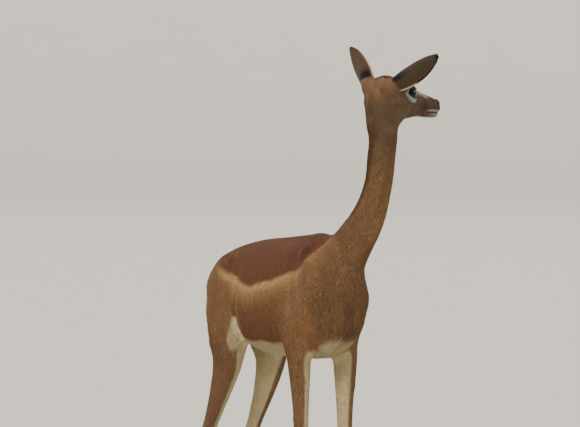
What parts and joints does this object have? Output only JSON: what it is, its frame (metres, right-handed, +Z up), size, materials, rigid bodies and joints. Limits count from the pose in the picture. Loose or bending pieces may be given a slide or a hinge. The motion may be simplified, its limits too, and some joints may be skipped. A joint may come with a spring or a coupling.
{
  "type": "gerenuk model",
  "caption": "Life-size standing model of a long-necked antelope, its head turned over the left shoulder, with broad spread ears, four slender legs and cloven hooves.",
  "frame": {"origin": "middle of the overall box, on the floor the hooves stand on", "axes": "+Z up, +X the way the body faces, +Y to the animal's left"},
  "size_m": [0.8571, 0.4, 1.3942],
  "materials": {
    "hide": "short flat coat",
    "eye": "wet gloss",
    "hoof": "worn horn"
  },
  "bodies": {
    "root": {"torso": "hide", "neck": "hide", "head": "hide", "ear_left": "hide", "ear_right": "hide", "tail": "hide", "foreleg_left": "hide", "foreleg_right": "hide", "hindleg_left": "hide", "hindleg_right": "hide", "eye_left": "eye", "eye_right": "eye", "hoof_fore_left_outer": "hoof", "hoof_fore_left_inner": "hoof", "hoof_fore_right_outer": "hoof", "hoof_fore_right_inner": "hoof", "hoof_hind_left_outer": "hoof", "hoof_hind_left_inner": "hoof", "hoof_hind_right_outer": "hoof", "hoof_hind_right_inner": "hoof"}
  },
  "joints": []
}
